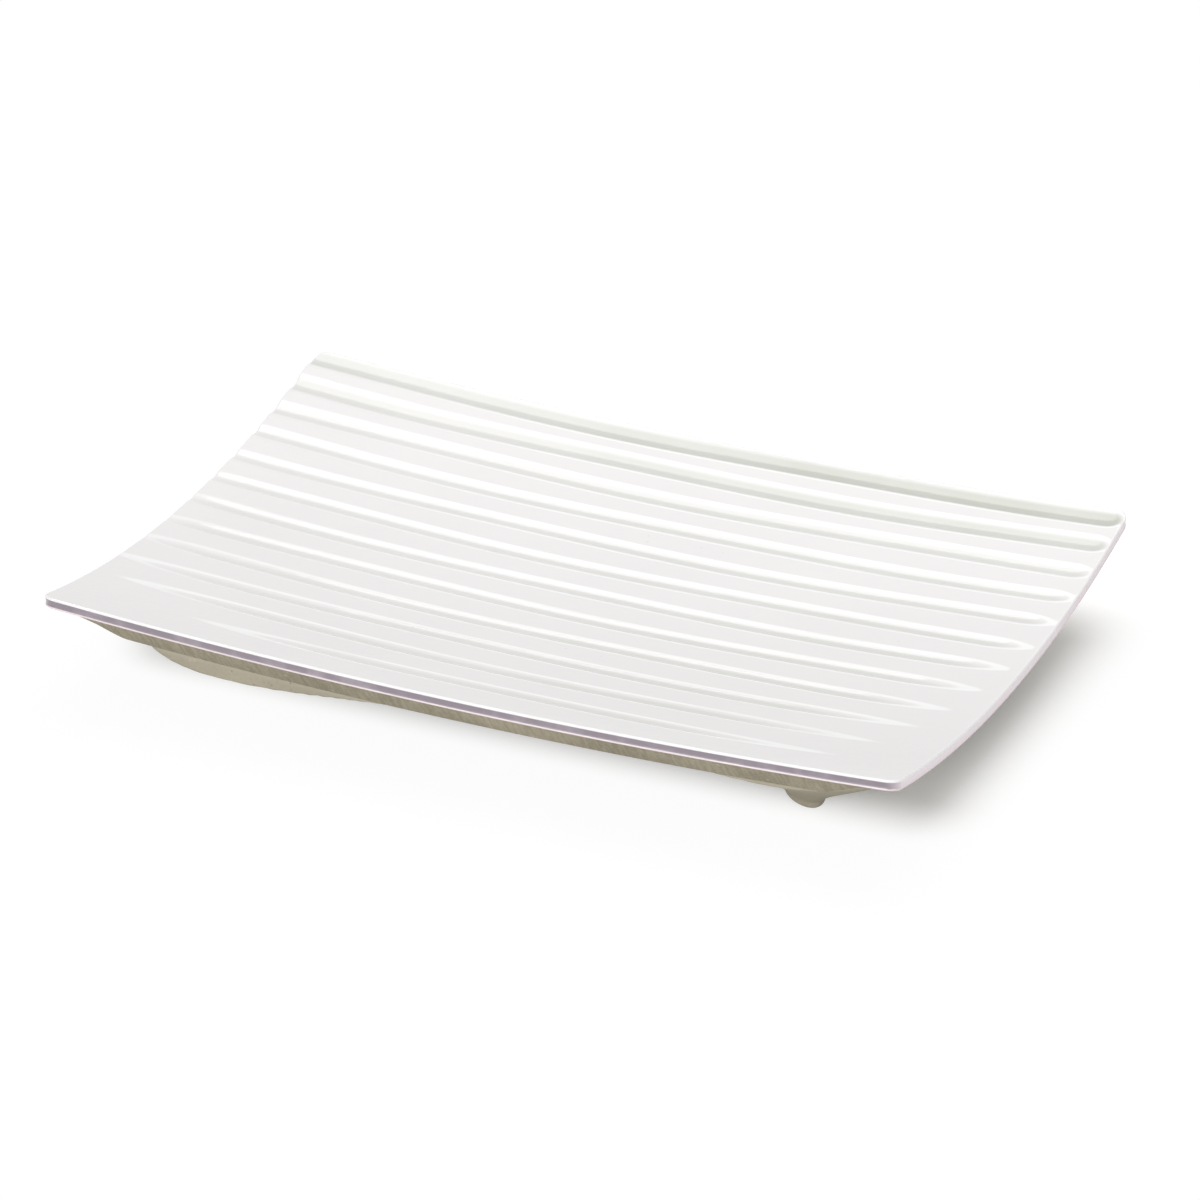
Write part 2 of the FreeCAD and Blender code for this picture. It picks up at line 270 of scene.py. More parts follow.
def groove_depths(sizes, x, y):
    """How deep each point lies in the nearest groove: below zero on the lands between them.

    A groove is a parabola across. Towards a tip its depth falls by a parabola along, raised to a
    power that makes the tips blunt at the back and long and pointed in front. Each centre line
    wanders a little, in a slow wave of its own. The grooves at the back are the deepest and roundest.
    """
    span = sizes.tray_width - sizes.back_margin - sizes.front_margin
    depths = np.full(x.shape, -sizes.groove_depth)
    for number in range(sizes.groove_count):
        part = number / (sizes.groove_count - 1)
        across = sizes.tray_width / 2 - sizes.back_margin
        across = across - span * (part - CROWDING_SHARE * part * (1 - part))
        wave = WANDER * np.sin(2 * math.pi * x / WANDER_RUN + WANDER_STEP * number)
        right = sizes.tray_length / 2 - grown(RIGHT_TIPS, part) - x
        left = sizes.tray_length / 2 - grown(LEFT_TIPS, part) + x
        way = np.minimum(right / grown(RIGHT_RUNS, part), left / grown(LEFT_RUNS, part))
        full = (1 - (1 - np.clip(way, 0, 1)) ** 2) ** (1 + part**2)
        off = np.hypot(y - across - wave, np.minimum(np.minimum(left, right), 0))
        shrunk = smooth_step(part / SHRINKING_SHARE)
        deepest = sizes.groove_depth * (1 - DEPTH_LOST_SHARE * shrunk)
        curve = sizes.groove_radius * (1 - ROUND_LOST_SHARE * shrunk)
        fall = TIP_LOST_SHARE * part * (1 - np.clip(way, 0, 1)) ** 3
        depth = deepest * (full - fall) - off**2 / (2 * curve)
        depths = np.maximum(depths, depth)
    return depths


def top_height(sizes, x, y):
    """Height of the grooved top over plan points, with softer shoulders towards the left."""
    soft = SHOULDER_REACH + SOFTER_REACH * smooth_step((SOFTER_FROM - x) / SOFTER_RUN)
    return bowl_height(sizes, x, y) - soft_positive(groove_depths(sizes, x, y), soft)


def tray_plan(sizes, inset):
    """Plan points of the tray's outline, drawn in by an inset, as a grid of rows along it.

    Between the corners the rows lie evenly, and round a corner they follow its arc by angle.
    Each row reaches from one end of the outline to the other.
    """
    corner = max(sizes.corner_radius - inset, LEAST_CORNER)
    straight_x = sizes.tray_length / 2 - inset - corner
    straight_y = sizes.tray_width / 2 - inset - corner
    angles = np.linspace(0, math.pi / 2, CORNER_STEPS + 1)[1:]
    side = straight_y + corner * np.sin(angles)
    end = straight_x + corner * np.cos(angles)
    middle = np.linspace(-straight_y, straight_y, MIDDLE_ROWS)
    rows = np.concatenate((-side[::-1], middle, side))
    reach = np.concatenate((end[::-1], np.full(MIDDLE_ROWS, straight_x + corner), end))
    even = np.linspace(-1, 1, COLUMNS)
    columns = even + END_CROWDING * (np.sin(even * math.pi / 2) - even)
    return reach[:, None] * columns, np.repeat(rows[:, None], COLUMNS, axis=1)


def grid_border(rows, columns):
    """Indices of a grid's border, once round, the way the clock's hands don't go."""
    index = np.arange(rows * columns).reshape(rows, columns)
    sides = (index[0], index[1:, -1], index[-1, -2::-1], index[-2:0:-1, 0])
    return np.concatenate(sides)


def grid_faces(rows, columns):
    """A grid's quads, facing up."""
    index = np.arange(rows * columns).reshape(rows, columns)
    corners = (index[:-1, :-1], index[:-1, 1:], index[1:, 1:], index[1:, :-1])
    return np.stack([corner.ravel() for corner in corners], axis=1)


def band_faces(upper, lower):
    """Quads between two closed loops of vertices, facing outwards."""
    corners = (lower, np.roll(lower, -1), np.roll(upper, -1), upper)
    return np.stack(corners, axis=1)


# The rim's profile, as shares and offsets. The land is hollowed a little between the rim's round
# and the bead, which is where the glaze has run down and stopped.
RIM_STEPS = 6
# The groove share given to the rim's round, which lays a thin painted highlight along it.
RIM_HIGHLIGHT = 0.12
LAND_SHARES = (0.12, 0.5, 0.84)
LAND_HOLLOWS = (0.05 * MM, 0.09 * MM, 0.07 * MM)
BEAD_INSETS = (0.015 * MM, 0.0, 0.04 * MM, 0.16 * MM)
BEAD_LIFTS = (0.16 * MM, 0.03 * MM, -0.08 * MM, -0.12 * MM)
BEVEL_SHARES = (0.12, 0.5, 0.86, 0.95)
BEVEL_CROWN = 0.1 * MM


def rim_rings(sizes, loop):
    """The rim's rings from the top's border down to the underside's: points and ring kinds.

    The profile is a quarter round, an upright land, a small bead and a bevel, each carried
    round the outline. Heights follow the top above and the underside below.
    """
    def ring(inset):
        x, y = tray_plan(sizes, inset)
        return x.ravel()[loop], y.ravel()[loop]

    rings = []
    x, y = ring(0)
    foot_of_round = top_height(sizes, x, y) - sizes.rim_edge
    land_end = bowl_height(sizes, x, y) - sizes.rim_land
    for angle in np.linspace(0, math.pi / 2, RIM_STEPS + 1)[1:]:
        x, y = ring(sizes.rim_edge * (1 - math.sin(angle)))
        drop = sizes.rim_edge * (1 - math.cos(angle))
        rings.append((x, y, top_height(sizes, x, y) - drop, "rim"))
    for part, hollow in zip(LAND_SHARES, LAND_HOLLOWS):
        x, y = ring(hollow)
        rings.append((x, y, foot_of_round + part * (land_end - foot_of_round), "land"))
    for inset, lift in zip(BEAD_INSETS, BEAD_LIFTS):
        x, y = ring(inset)
        rings.append((x, y, land_end + lift, "bead"))
    x, y = ring(sizes.bevel_inset)
    under = under_height(sizes, x, y)
    for part in BEVEL_SHARES:
        x, y = ring(part * sizes.bevel_inset)
        crown = BEVEL_CROWN * math.sin(math.pi * part)
        rings.append((x, y, land_end + part * (under - land_end) - crown, "bevel"))
    return rings


def tray_surface(sizes):
    """The tray as one closed skin: points, quads, each quad's finish and each point's masks.

    A grid over the top and a grid over the underside have the same rows and columns, and the
    rim's rings join their borders.
    """
    x, y = tray_plan(sizes, sizes.rim_edge)
    rows, columns = x.shape
    loop = grid_border(rows, columns)
    points = [np.stack((x, y, top_height(sizes, x, y)), axis=-1).reshape(-1, 3)]
    groove = [np.clip(groove_depths(sizes, x, y) / sizes.groove_depth, -1, 1).ravel()]
    land = [np.zeros(x.size)]
    long = [np.zeros(x.size)]
    bead = [np.zeros(x.size)]
    quads = [grid_faces(rows, columns)]
    bare = [np.zeros(len(quads[0]), np.int32)]
    upper = loop
    # How far each point of the rim faces a long side: the mask for the painted shade on the long edges.
    outer_y = tray_plan(sizes, 0)[1].ravel()[loop]
    facing = np.clip(np.abs(outer_y - y.ravel()[loop]) / sizes.rim_edge, 0, 1)
    for ring_x, ring_y, ring_z, kind in rim_rings(sizes, loop):
        lower = np.arange(len(loop)) + sum(map(len, points))
        points.append(np.stack((ring_x, ring_y, ring_z), axis=-1))
        groove.append(np.full(len(loop), RIM_HIGHLIGHT if kind == "rim" else -1.0))
        land.append(np.full(len(loop), float(kind == "land")))
        long.append(facing)
        bead.append(np.full(len(loop), float(kind == "bead")))
        quads.append(band_faces(upper, lower))
        bare.append(np.full(len(loop), kind == "bevel", np.int32))
        upper = lower
    start = sum(map(len, points))
    x, y = tray_plan(sizes, sizes.bevel_inset)
    z = under_height(sizes, x, y)
    points.append(np.stack((x, y, z), axis=-1).reshape(-1, 3))
    quads.append(band_faces(upper, loop + start))
    quads.append(grid_faces(rows, columns)[:, ::-1] + start)
    bare.append(np.ones(len(quads[-2]) + len(quads[-1]), np.int32))
    masks = {"groove": groove, "land": land, "long": long, "bead": bead}
    for parts in masks.values():
        parts.append(np.zeros(x.size))
    masks = {name: np.concatenate(parts) for name, parts in masks.items()}
    return np.concatenate(points), np.concatenate(quads), np.concatenate(bare), masks


def foot_place(sizes, corner):
    """Where a foot stands in plan, and its turn, from the pad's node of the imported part."""
    low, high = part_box(f"foot_pad_{corner}")
    side_x, side_y = CORNERS[corner]
    inwards = 0 if side_x < 0 else math.pi
    turn = inwards + side_x * side_y * sizes.splay
    return (low.x + high.x) / 2, (low.y + high.y) / 2, turn


def set_at_corner(place, along, across):
    """Plan points of a foot's own lengthwise and crosswise points."""
    centre_x, centre_y, turn = place
    x = centre_x + along * np.cos(turn) - across * np.sin(turn)
    y = centre_y + along * np.sin(turn) + across * np.cos(turn)
    return x, y


def oval_rings(place, half_lengths, half_widths):
    """Plan points of nested ovals, one row for each: an ellipse by angle."""
    angles = np.linspace(0, 2 * math.pi, OVAL_STEPS, endpoint=False)
    return set_at_corner(place, half_lengths * np.cos(angles), half_widths * np.sin(angles))


def oval_skin(x, y, z):
    """A closed skin over rings: quads between them, and a fan to a pole at either end."""
    rings, steps = x.shape
    points = np.stack((x, y, np.broadcast_to(z, x.shape)), axis=-1)
    poles = np.stack((points[0].mean(axis=0), points[-1].mean(axis=0)))
    index = np.arange(rings * steps).reshape(rings, steps)
    ahead = np.roll(index, -1, axis=1)
    corners = (index[:-1], ahead[:-1], ahead[1:], index[1:])
    quads = np.stack([corner.ravel() for corner in corners], axis=1)
    first, last = rings * steps, rings * steps + 1
    under = np.stack((ahead[0], index[0], np.full(steps, first)), axis=1)
    over = np.stack((index[-1], ahead[-1], np.full(steps, last)), axis=1)
    faces = quads.tolist() + under.tolist() + over.tolist()
    return np.concatenate((points.reshape(-1, 3), poles)), faces


def flare_rings(tray, sizes, corner, rise):
    """Plan points and heights of a foot's flare, at shares of the way up to its root.

    The oval grows, turns and leans from the sole to the root by a power of the share, keeps its
    size above the root, and stays inside the tray's outline.
    """
    centre_x, centre_y, turn = foot_place(sizes, corner)
    side_x, side_y = CORNERS[corner]
    root = ROOTS[side_x]
    grown_share = np.minimum(rise, 1) ** sizes.flare_power
    lengths = (sizes.sole_length + (root.length - sizes.sole_length) * grown_share) / 2
    widths = (sizes.sole_width + (root.width - sizes.sole_width) * grown_share) / 2
    more_turn = -side_x * side_y * (sizes.splay + math.radians(root.turn))
    middle_x = centre_x - side_x * root.lean_in * grown_share
    middle_y = centre_y + side_y * root.lean_out * grown_share
    x, y = oval_rings((middle_x, middle_y, turn + more_turn * grown_share), lengths, widths)
    limit_x = tray.tray_length / 2 - FLARE_KEEP[0]
    limit_y = tray.tray_width / 2 - FLARE_KEEP[1]
    start = sizes.pad_proud + sizes.sole_edge
    height = start + (root.height - start) * rise
    return np.clip(x, -limit_x, limit_x), np.clip(y, -limit_y, limit_y), height


def meeting_rise(tray, sizes, corner):
    """The share of the way up at which each of a flare's upright lines is lost in the tray."""
    rise = np.repeat(np.linspace(0, MOST_RISE_SHARE, FLARE_PROBES)[:, None], OVAL_STEPS, axis=1)
    x, y, z = flare_rings(tray, sizes, corner, rise)
    room = under_height(tray, x, y) + sizes.slip_round - z
    above = np.argmax(room < 0, axis=0)
    column = np.arange(OVAL_STEPS)
    before, after = room[above - 1, column], room[above, column]
    return rise[above - 1, column] + before / (before - after) * (rise[1] - rise[0])


def foot_surface(tray, sizes, corner):
    """A stub foot from the ceiling of its pad's seat, round the sole and up to the tray.

    Each upright line of the flare bends softly into the underside, as slip is wiped into a
    joint, and ends a hair inside the tray. The points' mask is one on that slip, where the finish
    lays a painted highlight.
    """
    place = foot_place(sizes, corner)
    low = sizes.pad_proud
    seat = sizes.sole_edge + sizes.pad_border
    angles = np.linspace(0, math.pi / 2, SOLE_STEPS)
    insets = np.array((seat, seat, seat - SEAT_EDGE, *(sizes.sole_edge * (1 - np.sin(angles)))))
    heights = (low + sizes.pad_recess, low + SEAT_EDGE, low)
    heights = np.array((*heights, *(low + sizes.sole_edge * (1 - np.cos(angles)))))
    lengths, widths = sizes.sole_length / 2 - insets, sizes.sole_width / 2 - insets
    sole_x, sole_y = oval_rings(place, lengths[:, None], widths[:, None])
    sole_z = np.repeat(heights[:, None], OVAL_STEPS, axis=1)
    way = np.linspace(0, 1, FLARE_RINGS + 1)[1:, None]
    rise = way * meeting_rise(tray, sizes, corner)
    x, y, z = flare_rings(tray, sizes, corner, rise)
    under = under_height(tray, x, y) + FLARE_BITE
    z = under - soft_positive(under - z, sizes.slip_round)
    slip = smooth_step((way - SLIP_FROM_SHARE) / (1 - SLIP_FROM_SHARE)) * np.ones(OVAL_STEPS)
    slip = np.concatenate((np.zeros(sole_x.size), slip.ravel(), (0, 1)))
    pairs = ((sole_x, x), (sole_y, y), (sole_z, z))
    return *oval_skin(*(np.concatenate(pair) for pair in pairs)), slip


def pad_surface(sizes, corner):
    """A soft oval pad: a flat face on the table, rounded edges and a flat face in its seat."""
    place = foot_place(sizes, corner)
    inset = sizes.sole_edge + sizes.pad_border + sizes.pad_gap
    height = sizes.pad_proud + sizes.pad_recess
    angles = np.linspace(0, math.pi / 2, SOLE_STEPS)
    lower_in = sizes.pad_edge * (1 - np.sin(angles))
    lower_up = sizes.pad_edge * (1 - np.cos(angles))
    upper_in, upper_down = lower_in[::-1] * PAD_TOP_SHARE, lower_up[::-1] * PAD_TOP_SHARE
    drawn_in = inset + np.concatenate(([PAD_FACE_INSET], lower_in, upper_in))
    heights = np.concatenate(([0], lower_up, height - upper_down))
    lengths, widths = sizes.sole_length / 2 - drawn_in, sizes.sole_width / 2 - drawn_in
    x, y = oval_rings(place, lengths[:, None], widths[:, None])
    return oval_skin(x, y, heights[:, None])


def add_piece(name, points, faces, materials, node):
    """Put a surface into a new object that stands for a node and rides on the dish's body."""
    mesh = bpy.data.meshes.new(name)
    mesh.from_pydata(points.tolist(), [], faces)
    mesh.validate()
    mesh.shade_smooth()
    for material in materials:
        mesh.materials.append(material)
    piece = bpy.data.objects.new(name, mesh)
    bpy.context.scene.collection.objects.link(piece)
    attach(piece, "root")
    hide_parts(node)
    return piece


def add_masks(mesh, masks):
    """Give a mesh some values at its points, for its finish to read."""
    for name, values in masks.items():
        mask = mesh.attributes.new(name, "FLOAT", "POINT")
        mask.data.foreach_set("value", values.astype(np.float32))
    mesh.update()


class Wire:
    """A node's output in a shader. Arithmetic on wires and numbers adds Math nodes."""

    def __init__(self, tree, socket=None):
        self.tree = tree
        self.socket = socket

    def node(self, kind, settings=None, sockets=None, output=0):
        """Add a node: its settings are set first, then its sockets get values or links."""
        made = self.tree.nodes.new(kind)
        for name, setting in (settings or {}).items():
            setattr(made, name, setting)
        for name, given in (sockets or {}).items():
            if isinstance(given, Wire):
                self.tree.links.new(given.socket, made.inputs[name])
            else:
                made.inputs[name].default_value = given
        return Wire(self.tree, made.outputs[output] if made.outputs else None)

    def math(self, operation, first, second):
        """The result of one Math node."""
        return self.node("ShaderNodeMath", {"operation": operation}, {0: first, 1: second})

    def __add__(self, other):
        return self.math("ADD", self, other)

    __radd__ = __add__

    def __sub__(self, other):
        return self.math("SUBTRACT", self, other)

    def __rsub__(self, other):
        return self.math("SUBTRACT", other, self)

    def __mul__(self, other):
        return self.math("MULTIPLY", self, other)

    __rmul__ = __mul__

    def place(self):
        """Points of the object in its own frame."""
        return self.node("ShaderNodeTexCoord", output="Object")

    def stretched(self, scale):
        """This vector, scaled along each axis."""
        return self.node("ShaderNodeMapping", None, {"Vector": self, "Scale": scale})

    def vector(self, operation, other=(0.0, 0.0, 0.0), output="Vector"):
        """The result of one Vector Math node on this vector and another."""
        sockets = {0: self, 1: other}
        return self.node("ShaderNodeVectorMath", {"operation": operation}, sockets, output)

    def part(self, axis):
        """One of this vector's parts."""
        return self.node("ShaderNodeSeparateXYZ", None, {"Vector": self}, output=axis)

    def noise(self, scale, detail=2.0, roughness=0.5):
        """Soft noise over this vector, about 0.5 on average."""
        sockets = {"Vector": self, "Scale": scale, "Detail": detail, "Roughness": roughness}
        return self.node("ShaderNodeTexNoise", None, sockets)

    def grains(self, scale):
        """Distance to the nearest of some scattered points, in their own spacing."""
        return self.node("ShaderNodeTexVoronoi", None, {"Vector": self, "Scale": scale})

    def ramp(self, low, high, start=0.0, end=1.0):
        """This value carried smoothly from start at low to end at high."""
        sockets = {0: self, 1: low, 2: high, 3: start, 4: end}
        return self.node("ShaderNodeMapRange", {"interpolation_type": "SMOOTHSTEP"}, sockets)

    def mask(self, name):
        """One of the mesh's own masks."""
        return self.node("ShaderNodeAttribute", {"attribute_name": name}, output="Fac")

    def mix(self, first, second):
        """A colour between two, by this value."""
        sockets = {0: self, 6: first, 7: second}
        return self.node("ShaderNodeMix", {"data_type": "RGBA"}, sockets, output=2)

    def bumped(self, strength, distance):
        """A normal for this height."""
        sockets = {"Height": self, "Strength": strength, "Distance": distance}
        return self.node("ShaderNodeBump", None, sockets)


def rgba(rgb):
    """A colour with full cover, for a socket."""
    return (*rgb, 1.0)


def new_shader(name):
    """An empty material, and a wire into its nodes."""
    material = bpy.data.materials.new(name)
    material.use_nodes = True
    material.node_tree.nodes.clear()
    return material, Wire(material.node_tree)


def finish_shader(wire, shader):
    """Lead a shader to the output."""
    wire.node("ShaderNodeOutputMaterial", None, {"Surface": shader})


# The finishes below have their noise and grains in waves to the metre. A ramp's two numbers are where it
# starts and ends. Where it has four, the last two are its values there. Shares say how much of a colour
# or a height comes in.
NOISE_SPAN = (0.3, 0.7)

# The glaze. Depths are shares of the deepest groove, below zero on the lands, and places are along or
# across the tray.
GLAZE_WAVES = {
    "cloud": 45,
    "highlight_patch": 90,
    "edge_shade_mottle": 260,
    "speck": 520,
    "crowd": 70,
    "gloss": 120,
    "ripple": 190,
    "fine": 900,
}
CLOUD_SHADE = 0.985
# The groove colour, partly the glaze's pooling and partly painted shade, deepest along the back rim and
# stronger on the right.
POOL_DEPTHS = (0.1, 0.7)
POOL_AND_BACK_SHADE = (34 * MM, 46 * MM, 0.4, 1.0)
POOL_ALONG = (-60 * MM, 40 * MM, 0.55, 1.0)
POOL_CLOUDS = (0.25, 0.75, 0.8, 1.0)
# A painted highlight of plain white over the grooves' shoulders and the rim's round: where it lies by
# depth, its reach, its patchy stretches, and how it fades towards the left end.
HIGHLIGHT_DEPTH = -0.18
HIGHLIGHT_REACH = (0.12, 0.36, 1.0, 0.0)
HIGHLIGHT_STRETCH = (0.35, 1.0, 1.0)
HIGHLIGHT_PATCHES = (0.3, 0.5, 0.65, 1.0)
FAINT_ALONG = (-75 * MM, -20 * MM, 0.7, 0.0)
FAINT_ACROSS = (-35 * MM, 0.0)
# How strongly the painted shade on the long edges comes in, in mottles.
EDGE_SHADE_MOTTLE = (0.1, 0.55, 0.8, 1.0)
SPECK_SIZES = (0.05, 0.11, 1.0, 0.0)
SPECK_CROWDS = (0.58, 0.7)
SPECK_SHARE = 0.25
GLAZE_ROUGHNESS = (0.3, 0.75, 0.07, 0.13)
EDGE_ROUGHNESS = 0.15
GLAZE_IOR = 1.52
FINE_SHARE = 0.08
RIPPLE_BUMP = (0.12, 0.6 * MM)


def glazed_top(wire, place, colours):
    """Colour of the top: greener where the glaze pools in the grooves, and a painted highlight of
    plain white over the grooves' shoulders.

    The groove colour is partly painted shade: it deepens towards the back rim, and it is also
    stronger on the right. The painted highlight comes in patchy stretches and is fainter towards
    the left end.
    """
    along, across = place.part("X"), place.part("Y")
    cloud = place.noise(GLAZE_WAVES["cloud"], detail=3)
    shaded = rgba([channel * CLOUD_SHADE for channel in colours.glaze])
    white = cloud.ramp(*NOISE_SPAN).mix(rgba(colours.glaze), shaded)
    depth = wire.mask("groove")
    pool_and_shade = depth.ramp(*POOL_DEPTHS) * across.ramp(*POOL_AND_BACK_SHADE) * along.ramp(*POOL_ALONG)
    base = (pool_and_shade * cloud.ramp(*POOL_CLOUDS)).mix(white, rgba(colours.pooled_and_shade))
    shoulder_highlight = wire.math("ABSOLUTE", depth - HIGHLIGHT_DEPTH, 0.0).ramp(*HIGHLIGHT_REACH)
    highlight_patches = place.stretched(HIGHLIGHT_STRETCH).noise(GLAZE_WAVES["highlight_patch"]).ramp(*HIGHLIGHT_PATCHES)
    faint = along.ramp(*FAINT_ALONG) * across.ramp(*FAINT_ACROSS)
    return (shoulder_highlight * highlight_patches * (1.0 - faint)).mix(base, rgba(colours.painted_highlight))


def glazed_edge(wire, place, colours):
    """Colour of the upright band: blushed at the two ends, with painted shade, purple-grey, on the long
    edges.
    """
    edge_shade_mottle = place.noise(GLAZE_WAVES["edge_shade_mottle"]).ramp(*EDGE_SHADE_MOTTLE)
    return (wire.mask("long") * edge_shade_mottle).mix(rgba(colours.blush), rgba(colours.thin))


def glaze_material(colours):
    """White gloss glaze over the top and the rim, with a bead along its lower edge. Its colour holds
    painted highlights over the shoulders, the rim's round and the bead, and painted shade in the
    grooves and on the long edges.

    A few specks of clay show through it. Slow noise clouds its gloss, and a faint ripple in the
    normal is the unevenness of melted glass.
    """
    material, wire = new_shader("white_glaze")
    place = wire.place()
    land = wire.mask("land")
    base = wire.mask("bead").mix(glazed_top(wire, place, colours), rgba(colours.bead))
    base = land.mix(base, glazed_edge(wire, place, colours))
    crowds = place.noise(GLAZE_WAVES["crowd"]).ramp(*SPECK_CROWDS)
    specks = place.grains(GLAZE_WAVES["speck"]).ramp(*SPECK_SIZES) * crowds
    base = (specks * SPECK_SHARE).mix(base, rgba(colours.clay))
    gloss = place.noise(GLAZE_WAVES["gloss"], detail=3).ramp(*GLAZE_ROUGHNESS)
    fine = place.noise(GLAZE_WAVES["fine"], detail=1)
    ripple = place.noise(GLAZE_WAVES["ripple"]) + fine * FINE_SHARE
    sockets = {
        "Base Color": base,
        "Roughness": gloss + land * EDGE_ROUGHNESS,
        "IOR": GLAZE_IOR,
        "Normal": ripple.bumped(*RIPPLE_BUMP),
    }
    finish_shader(wire, wire.node("ShaderNodeBsdfPrincipled", None, sockets))
    return material


# The bare clay.
CLAY_WAVES = {
    "cloud": 60,
    "scrape": 1900,
    "tooth": 2600,
    "dark": 900,
    "dark_crowd": 300,
    "pale": 700,
    "pale_crowd": 210,
}
SCRAPE_STRETCH = (1.0, 0.12, 0.12)
SCRAPE_SPAN = (0.36, 0.64)
SMOOTHED_SHARE = 0.85
DARK_SIZES = (0.1, 0.22, 1.0, 0.0)
DARK_CROWDS = (0.45, 0.62)
PALE_SIZES = (0.12, 0.3, 1.0, 0.0)
PALE_CROWDS = (0.5, 0.66)
GRAIN_SHARES = {"dark": 0.6, "pale": 0.5}
TONE_SHARES = {"cloud": 0.5, "scrape": 0.11, "tooth": 0.35}
TONE_SPAN = (0.22, 0.8)
PALE_TONES = (0.6, 0.9)
# The paler clay comes in by tone, by a painted highlight along the slip joint, and by painted light over
# the whole of each foot.
PALER_SHARES = {"tone": 0.35, "slip": 0.25, "smooth": 0.4}
HEIGHT_SHARES = {"scrape": 0.5, "dark": -0.5}
CLAY_ROUGHNESS = (0.72, 0.9)
CLAY_SPECULAR = 0.3
TOOTH_BUMP = (0.2, 0.1 * MM)


def clay_material(colours):
    """Bare fired clay: buff, with dark and pale grains, scrapes across the bevel and a dry tooth.

    The feet are smoother than the scraped tray and are painted paler, as painted light that lifts
    their shade, with a painted highlight along the slip where they join the tray.
    """
    material, wire = new_shader("fired_clay")
    place = wire.place()
    smooth = wire.mask("smooth")
    cloud = place.noise(CLAY_WAVES["cloud"], detail=4, roughness=0.6)
    tooth = place.noise(CLAY_WAVES["tooth"], detail=3, roughness=0.65)
    scrape = place.stretched(SCRAPE_STRETCH).noise(CLAY_WAVES["scrape"]).ramp(*SCRAPE_SPAN)
    scrape = scrape * (1.0 - smooth * SMOOTHED_SHARE)
    dark_crowds = place.noise(CLAY_WAVES["dark_crowd"]).ramp(*DARK_CROWDS)
    dark = place.grains(CLAY_WAVES["dark"]).ramp(*DARK_SIZES) * dark_crowds
    pale_crowds = place.noise(CLAY_WAVES["pale_crowd"]).ramp(*PALE_CROWDS)
    pale = place.grains(CLAY_WAVES["pale"]).ramp(*PALE_SIZES) * pale_crowds
    tone = cloud * TONE_SHARES["cloud"] + scrape * TONE_SHARES["scrape"] + tooth * TONE_SHARES["tooth"]
    base = tone.ramp(*TONE_SPAN).mix(rgba(colours.clay_dark), rgba(colours.clay))
    painted_foot_light = wire.mask("slip") * PALER_SHARES["slip"] + smooth * PALER_SHARES["smooth"]
    paler = tone.ramp(*PALE_TONES) * PALER_SHARES["tone"] + painted_foot_light
    base = paler.mix(base, rgba(colours.clay_pale_and_lit))
    base = (dark * GRAIN_SHARES["dark"]).mix(base, rgba(colours.clay_dark))
    base = (pale * GRAIN_SHARES["pale"]).mix(base, rgba(colours.clay_pale_and_lit))
    height = tooth + scrape * HEIGHT_SHARES["scrape"] + dark * HEIGHT_SHARES["dark"]
    sockets = {
        "Base Color": base,
        "Roughness": cloud.ramp(*NOISE_SPAN, *CLAY_ROUGHNESS),
        "Specular IOR Level": CLAY_SPECULAR,
        "Normal": height.bumped(*TOOTH_BUMP),
    }
    finish_shader(wire, wire.node("ShaderNodeBsdfPrincipled", None, sockets))
    return material


# The soft pads.
PAD_WAVES = {"mottle": 500, "dust": 1400, "tooth": 5200}
MOTTLE_SHADE = 0.78
DUST_SPAN = (0.55, 0.75)
DUST_SHARE = 0.3
PAD_ROUGHNESS = (0.5, 0.68)
PAD_BUMP = (0.2, 0.05 * MM)


def pad_material(colours):
    """Soft pad: matt, faintly mottled, with a fine moulded tooth and a little dust."""
    material, wire = new_shader("pad_rubber")
    place = wire.place()
    mottle = place.noise(PAD_WAVES["mottle"], detail=3)
    shaded = rgba([channel * MOTTLE_SHADE for channel in colours.pad])
    base = mottle.ramp(*NOISE_SPAN).mix(rgba(colours.pad), shaded)
    dust = place.noise(PAD_WAVES["dust"]).ramp(*DUST_SPAN)
    base = (dust * DUST_SHARE).mix(base, rgba(colours.clay_pale_and_lit))
    sockets = {
        "Base Color": base,
        "Roughness": mottle.ramp(*NOISE_SPAN, *PAD_ROUGHNESS),
        "Normal": place.noise(PAD_WAVES["tooth"], detail=1).bumped(*PAD_BUMP),
    }
    finish_shader(wire, wire.node("ShaderNodeBsdfPrincipled", None, sockets))
    return material


class SOAPDISH_OT_tray(bpy.types.Operator):
    """Make the dished, grooved tray, glazed above and bare below"""

    bl_idname = "soapdish.tray"
    bl_label = "Make tray"

    def execute(self, context):
        scene = context.scene
        points, quads, bare, masks = tray_surface(scene.dish_tray)
        clay = bpy.data.materials.get("fired_clay") or clay_material(scene.dish_colours)
        finishes = [glaze_material(scene.dish_colours), clay]
        piece = add_piece("glazed_tray", points, quads.tolist(), finishes, "tray")
        piece.data.polygons.foreach_set("material_index", bare)
        add_masks(piece.data, masks)
        return {"FINISHED"}


class SOAPDISH_OT_feet(bpy.types.Operator):
    """Make the four flared stub feet of bare clay"""

    bl_idname = "soapdish.feet"
    bl_label = "Make feet"

    def execute(self, context):
        scene = context.scene
        clay = bpy.data.materials.get("fired_clay") or clay_material(scene.dish_colours)
        for corner in CORNERS:
            points, faces, slip = foot_surface(scene.dish_tray, scene.dish_foot, corner)
            name = f"stub_foot_{corner}"
            piece = add_piece(name, points, faces, [clay], f"foot_{corner}")
            # The slip mask carries a painted highlight along the joint, and the smooth mask paints the
            # whole foot paler, as painted light.
            add_masks(piece.data, {"slip": slip, "smooth": np.ones(len(points))})
        return {"FINISHED"}


